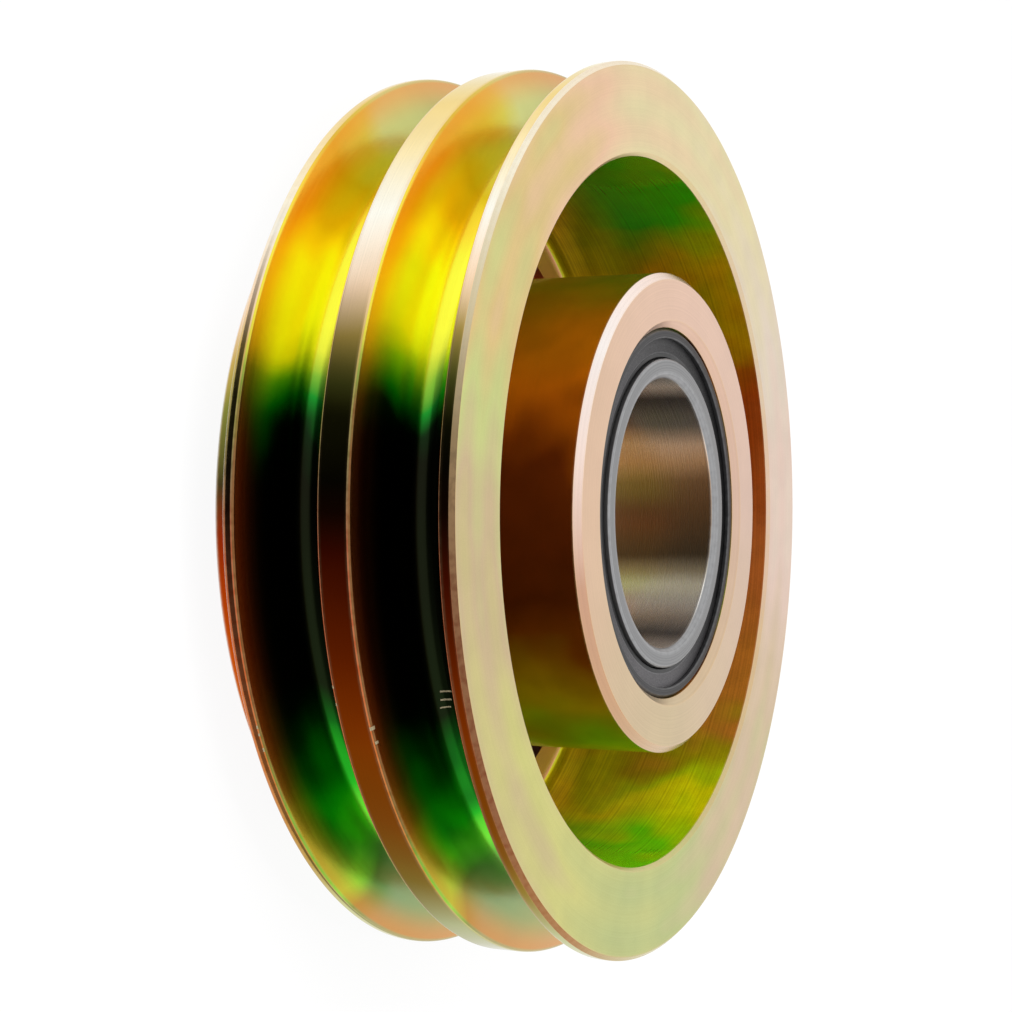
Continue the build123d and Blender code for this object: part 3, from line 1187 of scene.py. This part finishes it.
    def build(self, bench: Bench) -> bpy.types.Object:
        """Dressed rotor.

        Args:
            bench: Bench that the materials are made on.

        Returns:
            The rotor.
        """
        materials = [ROTOR_FINISHES[surface].material(bench) for surface in Surface]
        blank = Lathe.mesh("rotor_blank", OutlineMaker(self.corners()).sample())
        cutters = self.slot_cutters()
        cutters.polygons.foreach_set("material_index", np.full(len(cutters.polygons), Surface.SLOT))
        for mesh in (blank, cutters):
            for material in materials:
                mesh.materials.append(material)
        mesh = self.cut_slots(blank, cutters)
        mesh.name = "dressed_pulley_rotor"
        shade(mesh)
        piece = piece_from(mesh, [])
        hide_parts("pulley_rotor")
        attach(piece, "rotor")
        return piece


@dataclass(frozen=True)
class Bearing:
    """Sealed double-row ball bearing. Lengths are in millimetres."""

    bore_radius: float = 20.0
    outside_radius: float = 27.5
    top: float = 42.3
    middle: float = 30.3
    row_height: float = 35.8
    pitch_radius: float = 23.75
    race_radius: float = 2.06
    inner_shoulder: float = 22.95
    inner_middle: float = 22.55
    outer_shoulder: float = 25.05
    outer_middle: float = 24.65
    seat_radius: float = 26.1
    seal_top: float = 41.5
    seal_foot: float = 39.8
    insert_bore: float = 23.75
    insert_wall: float = 25.6
    edge: float = 0.08
    bore_chamfer: float = 0.7
    bore_rounding: float = 0.7
    race_steps: int = 13
    fold: float = 0.15
    fold_rounding: float = 0.05
    outside_chamfer: float = 0.5
    shoulder_chamfer: float = 0.25
    insert_sheet: float = 0.5
    insert_rounding: float = 0.12
    lip_radii: tuple[float, float, float] = (23.2, 23.0, 23.4)
    lip_depth: float = 1.3

    def mirrored(self, corners: list[Corner]) -> list[Corner]:
        """Corners above the bearing's middle plane, followed by their mirror below it.

        Args:
            corners: Corners above the plane, from the raceway round to the far side of the ring.

        Returns:
            The closed outline's corners.
        """
        last = len(corners) - 1
        surfaces = [corners[max(last - 1 - i, 0)].surface for i in range(len(corners))]
        return corners + [
            Corner(corner.radius, 2 * self.middle - corner.height, corner.rounding, surface)
            for corner, surface in zip(corners[::-1], surfaces)
        ]

    def raceway(self, side: float) -> list[Corner]:
        """Corners of a raceway from the high shoulder to the low one.

        The groove is an arc of the race radius about the middle of the balls.

        Args:
            side: 1 for the outer ring, -1 for the inner ring.

        Returns:
            The corners, from the end of the bearing towards its middle.
        """
        shoulder = self.outer_shoulder if side > 0 else self.inner_shoulder
        low = self.outer_middle if side > 0 else self.inner_middle
        start = math.acos(abs(shoulder - self.pitch_radius) / self.race_radius)
        end = math.acos(abs(low - self.pitch_radius) / self.race_radius)
        sweep = np.linspace(start, -end, self.race_steps)
        return [
            Corner(self.pitch_radius + side * self.race_radius * math.cos(a),
                   self.row_height + self.race_radius * math.sin(a))
            for a in sweep
        ]

    def outer_corners(self) -> list[Corner]:
        """Corners of the outer ring, from its raceway to its seal seat and outside."""
        half = self.raceway(1.0)[::-1] + [
            Corner(self.outer_shoulder, self.seal_foot),
            Corner(self.seat_radius, self.seal_foot),
            Corner(self.seat_radius, self.seal_top),
            Corner(self.seat_radius - self.fold, self.seal_top + self.fold),
            Corner(self.seat_radius - self.fold, self.top - self.fold, self.fold_rounding),
            Corner(self.seat_radius, self.top, self.fold_rounding),
            Corner(self.outside_radius - self.outside_chamfer, self.top, self.edge),
            Corner(self.outside_radius, self.top - self.outside_chamfer, self.edge),
        ]
        return self.mirrored(half)

    def inner_corners(self) -> list[Corner]:
        """Corners of the inner ring, from its raceway to its face and bore, which is slot 1."""
        half = self.raceway(-1.0)[::-1] + [
            Corner(self.inner_shoulder, self.top - self.shoulder_chamfer, self.edge),
            Corner(self.inner_shoulder - self.shoulder_chamfer, self.top, self.edge),
            Corner(self.bore_radius + self.bore_chamfer, self.top, self.bore_rounding),
            Corner(self.bore_radius, self.top - self.bore_chamfer, self.bore_rounding, 1),
        ]
        return self.mirrored(half)

    def insert_corners(self) -> list[Corner]:
        """Corners of the coil-side seal's steel insert, with its rim folded into the outer ring."""
        return [
            Corner(self.insert_bore, self.seal_top, self.edge),
            Corner(self.insert_bore, self.seal_top - self.insert_sheet),
            Corner(self.insert_wall, self.seal_top - self.insert_sheet),
            Corner(self.insert_wall, self.seal_foot),
            Corner(self.seat_radius, self.seal_foot),
            Corner(self.seat_radius, self.seal_top, self.insert_rounding),
        ]

    def lip_corners(self) -> list[Corner]:
        """Corners of the coil-side seal's rubber, bonded under the insert."""
        top, tip, foot = self.lip_radii
        return [
            Corner(tip, self.seal_top - self.insert_sheet, self.edge),
            Corner(top, self.seal_top, self.edge),
            Corner(self.insert_bore, self.seal_top),
            Corner(self.insert_bore, self.seal_top - self.insert_sheet),
            Corner(self.insert_wall, self.seal_top - self.insert_sheet),
            Corner(self.insert_wall, self.seal_top - self.lip_depth),
            Corner(foot, self.seal_top - self.lip_depth, self.edge),
        ]

    def other_side(self, corners: list[Corner]) -> list[Corner]:
        """The same corners on the other side of the middle plane."""
        return [Corner(c.radius, 2 * self.middle - c.height, c.rounding, c.surface) for c in corners]

    def turned_piece(self, name: str, corners: list[Corner], materials: list[bpy.types.Material],
                     node: str, body: str) -> bpy.types.Object:
        """Turned piece that stands for a node of the bearing.

        Args:
            name: Name of the piece.
            corners: Corners of its section.
            materials: Its materials, in slot order.
            node: Node that it replaces.
            body: Body that it rides on.

        Returns:
            The piece.
        """
        mesh = Lathe.mesh(name, OutlineMaker(corners).sample())
        shade(mesh)
        piece = piece_from(mesh, materials)
        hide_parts(node)
        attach(piece, body)
        return piece

    def build(self, bench: Bench, nodes: dict[str, bpy.types.Object]) -> list[bpy.types.Object]:
        """Dressed rings and seals, and finishes on the cages and balls.

        Args:
            bench: Bench that the materials are made on.
            nodes: CAD nodes by name.

        Returns:
            The new pieces.
        """
        face, bore, outer = (finish.material(bench) for finish in (RING_FACE, RING_BORE, OUTER_FACE))
        seal, rubber = SEAL_STEEL.material(bench), SEAL_RUBBER.material(bench)
        pieces = [
            self.turned_piece("dressed_outer_ring", self.outer_corners(), [outer],
                              "bearing_outer_ring", "rotor"),
            self.turned_piece("dressed_inner_ring", self.inner_corners(), [face, bore],
                              "bearing_inner_ring", "inner_ring"),
        ]
        for side in ("coil_side", "friction_side"):
            for part, corners, material, slot in (
                ("seal_insert", self.insert_corners(), seal, "seal_steel"),
                ("seal_lip", self.lip_corners(), rubber, "seal_rubber"),
            ):
                placed = corners if side == "coil_side" else self.other_side(corners)
                pieces.append(self.turned_piece(f"dressed_{side}_{part}", placed, [material],
                                                f"{side}_{part}", "rotor"))
        nylon, polished = CAGE_NYLON.material(bench), BALL_STEEL.material(bench)
        for name, node in nodes.items():
            if "_cage" in name or "_ball_" in name:
                node.material_slots[0].material = nylon if "_cage" in name else polished
        return pieces


@dataclass(frozen=True)
class PhotoCamera:
    """Camera of the photograph, fitted to the outlines of the rim, hub and bearing."""

    azimuth: float = 64.258
    elevation: float = 1.493
    roll: float = 0.16664
    distance: float = 4.81636
    slide: tuple[float, float] = (-0.33697, -0.11886)
    focal_pixels: float = 2131.71
    centre_pixels: tuple[float, float] = (506.0, 566.0)
    unit: float = 0.066
    origin_height: float = 0.040
    sensor_width: float = 36.0
    clip: tuple[float, float] = (0.01, 50.0)

    def build(self) -> bpy.types.Object:
        """Camera object at the fitted place, with the small shift that the framing needs."""
        azimuth, elevation, roll = (math.radians(a) for a in (self.azimuth, self.elevation, self.roll))
        outward = Vector((-math.sin(azimuth) * math.cos(elevation), math.sin(elevation),
                          math.cos(azimuth) * math.cos(elevation)))
        right = (-outward).cross(Vector((0, 1, 0))).normalized()
        up = right.cross(-outward)
        turned_right = math.cos(roll) * right + math.sin(roll) * up
        turned_up = -math.sin(roll) * right + math.cos(roll) * up
        place = outward * self.distance + turned_right * self.slide[0] + turned_up * self.slide[1]
        lens = bpy.data.cameras.new("photo_camera")
        lens.sensor_width = self.sensor_width
        lens.lens = self.focal_pixels / PHOTO_SIDE * lens.sensor_width
        lens.shift_x = -(self.centre_pixels[0] - PHOTO_SIDE / 2) / PHOTO_SIDE
        lens.shift_y = (self.centre_pixels[1] - PHOTO_SIDE / 2) / PHOTO_SIDE
        lens.clip_start, lens.clip_end = self.clip
        camera = bpy.data.objects.new("photo_camera", lens)
        bpy.context.scene.collection.objects.link(camera)
        camera.matrix_world = Matrix.Translation(
            place * self.unit + Vector((0, 0, self.origin_height))
        ) @ Matrix((turned_right, turned_up, outward)).transposed().to_4x4()
        bpy.context.scene.camera = camera
        return camera


# Place round the axis, and darkness of the floor card there.
FLOOR_DARKNESS = (
    (0.0, 0.95), (0.05, 0.7), (0.10, 0.0), (0.19, 0.1), (0.25, 0.3), (0.30, 0.6), (0.34, 0.68),
    (0.39, 0.7), (0.43, 0.8), (0.475, 0.9), (0.50, 0.985), (0.545, 0.985), (0.565, 0.85), (0.59, 0.5),
    (0.612, 0.1), (0.64, 0.0), (0.90, 0.0), (0.95, 0.7), (1.0, 0.95)
)


@dataclass(frozen=True)
class Softbox:
    """Square lamp that faces the pulley, with its place and size in metres and its power in watts."""

    name: str
    place: tuple[float, float, float]
    size: float
    power: float
    aim_height: float = 0.02

    def build(self) -> bpy.types.Object:
        """The lamp, which reflections don't see."""
        light = bpy.data.lights.new(self.name, "AREA")
        light.size, light.energy = self.size, self.power
        lamp = bpy.data.objects.new(self.name, light)
        bpy.context.scene.collection.objects.link(lamp)
        lamp.location = Vector(self.place)
        away = Vector(self.place) - Vector((0, 0, self.aim_height))
        lamp.rotation_euler = away.to_track_quat("Z", "Y").to_euler()
        lamp.visible_glossy = False
        return lamp


@dataclass(frozen=True)
class Studio:
    """Pale floor, soft lamps, and a dark card on the floor that only reflections see."""

    floor_half: float = 5.0
    floor_glow: float = 0.93
    floor_paint: float = 0.9
    world_light: float = 0.6
    world_seen: float = 1.0
    card_start: float = 0.074
    card_radius: float = 0.9
    card_lift: float = 0.0006
    card_rings: int = 12
    card_spokes: int = 181
    card_black: float = 0.012
    softboxes: tuple[Softbox, ...] = (
        Softbox("top_softbox", (-0.30, 0.60, 0.65), 0.6, 8.0),
        Softbox("low_softbox", (-0.20, -0.70, 0.45), 0.5, 2.5),
        Softbox("overhead_softbox", (0.05, 0.10, 0.90), 0.5, 4.5),
    )

    @staticmethod
    def seen_directly(pen: NodePen) -> bpy.types.NodeSocket:
        """1 for camera, glossy and transmission rays, 0 for the rays that light the object.

        Args:
            pen: Pen of the tree.

        Returns:
            The value.
        """
        rays = pen.node("ShaderNodeLightPath").outputs
        seen = pen.math("ADD", rays["Is Camera Ray"], rays["Is Glossy Ray"])
        return pen.math("ADD", seen, rays["Is Transmission Ray"], clamp=True)

    @staticmethod
    def mixed(pen: NodePen, share: object, first: bpy.types.Node, second: bpy.types.Node,
              output: str) -> None:
        """Feeds an output node with two shaders, mixed by a share of the second.

        Args:
            pen: Pen of the tree.
            share: Share of the second shader.
            first: Node of the shader at 0.
            second: Node of the shader at 1.
            output: Type name of the output node.
        """
        mix = pen.node("ShaderNodeMixShader")
        for socket, value in zip(mix.inputs, (share, first.outputs[0], second.outputs[0])):
            pen.feed(socket, value)
        pen.feed(pen.node(output).inputs[0], mix.outputs[0])

    @staticmethod
    def bare_material(name: str) -> tuple[bpy.types.Material, NodePen]:
        """Material without any node, and a pen for it.

        Args:
            name: Name of the material.

        Returns:
            The material and its pen.
        """
        material = bpy.data.materials.new(name)
        material.use_nodes = True
        material.node_tree.nodes.clear()
        return material, NodePen(material.node_tree)

    def world(self) -> None:
        """World that is plain white where it is seen, and softer where it lights."""
        world = bpy.data.worlds.new("studio_world")
        world.use_nodes = True
        bpy.context.scene.world = world
        world.node_tree.nodes.clear()
        pen = NodePen(world.node_tree)
        lit, seen = pen.node("ShaderNodeBackground"), pen.node("ShaderNodeBackground")
        for made, strength in ((lit, self.world_light), (seen, self.world_seen)):
            made.inputs["Color"].default_value = (1.0, 1.0, 1.0, 1.0)
            made.inputs["Strength"].default_value = strength
        self.mixed(pen, self.seen_directly(pen), lit, seen, "ShaderNodeOutputWorld")

    def floor(self) -> bpy.types.Object:
        """White floor that keeps a faint shadow of the object."""
        half = self.floor_half
        mesh = bpy.data.meshes.new("studio_floor")
        corners = [(-half, -half, 0), (half, -half, 0), (half, half, 0), (-half, half, 0)]
        mesh.from_pydata(corners, [], [(0, 1, 2, 3)])
        material, pen = self.bare_material("white_floor")
        emission, diffuse = pen.node("ShaderNodeEmission"), pen.node("ShaderNodeBsdfDiffuse")
        emission.inputs["Strength"].default_value = 1.0
        diffuse.inputs["Color"].default_value = (*(self.floor_paint,) * 3, 1.0)
        share = pen.math("MULTIPLY", self.seen_directly(pen), self.floor_glow)
        self.mixed(pen, share, diffuse, emission, "ShaderNodeOutputMaterial")
        floor = piece_from(mesh, [material])
        return floor

    def floor_card(self) -> bpy.types.Object:
        """Dark card on the floor round the pulley, which only reflections see.

        A point at radius r and angle a is (-r cos a, r sin a), just above the floor. Its darkness
        follows the turn round the axis, from +X over -Y and -X to +Y.
        """
        radius = np.linspace(self.card_start, self.card_radius, self.card_rings)[:, None]
        angles = np.linspace(-math.pi, math.pi, self.card_spokes)
        across, along = -radius * np.cos(angles), radius * np.sin(angles)
        grid = np.stack([across, along, np.full(across.shape, self.card_lift)], axis=2)
        index = np.arange(across.size).reshape(across.shape)
        quads = np.stack([index[:-1, :-1], index[1:, :-1], index[1:, 1:], index[:-1, 1:]], axis=2)
        mesh = bpy.data.meshes.new("floor_card")
        mesh.from_pydata(grid.reshape(-1, 3), [], quads.reshape(-1, 4))
        material, pen = self.bare_material("floor_card")
        split = pen.node("ShaderNodeSeparateXYZ")
        pen.feed(split.inputs[0], pen.node("ShaderNodeTexCoord").outputs["Object"])
        angle = pen.math("ARCTAN2", split.outputs[1], pen.math("MULTIPLY", split.outputs[0], -1.0))
        turn = pen.math("MULTIPLY_ADD", angle, 1 / (2 * math.pi), 0.5)
        share = pen.ramp(turn, tuple((place, (value,) * 3) for place, value in FLOOR_DARKNESS))
        clear, black = pen.node("ShaderNodeBsdfTransparent"), pen.node("ShaderNodeEmission")
        black.inputs["Color"].default_value = (*(self.card_black,) * 3, 1.0)
        self.mixed(pen, share, clear, black, "ShaderNodeOutputMaterial")
        card = piece_from(mesh, [material])
        card.visible_camera = card.visible_shadow = card.visible_diffuse = False
        return card

    def build(self) -> None:
        """Builds the whole set."""
        self.world()
        self.floor()
        self.floor_card()
        for softbox in self.softboxes:
            softbox.build()


def main() -> None:
    """Builds the set, the rotor and the bearing, and logs the face count of each new piece."""
    logging.basicConfig(level=logging.INFO, format="%(name)s: %(message)s")
    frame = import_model()
    bpy.context.scene.view_settings.view_transform = "Standard"
    PhotoCamera().build()
    Studio().build()
    bench = Bench(SharedEffects())
    rotor = PulleyRotor().build(bench)
    log.info("%s: %d faces", rotor.name, len(rotor.data.polygons))
    for piece in Bearing().build(bench, frame["nodes"]):
        log.info("%s: %d faces", piece.name, len(piece.data.polygons))


if __name__ == "__main__":
    main()
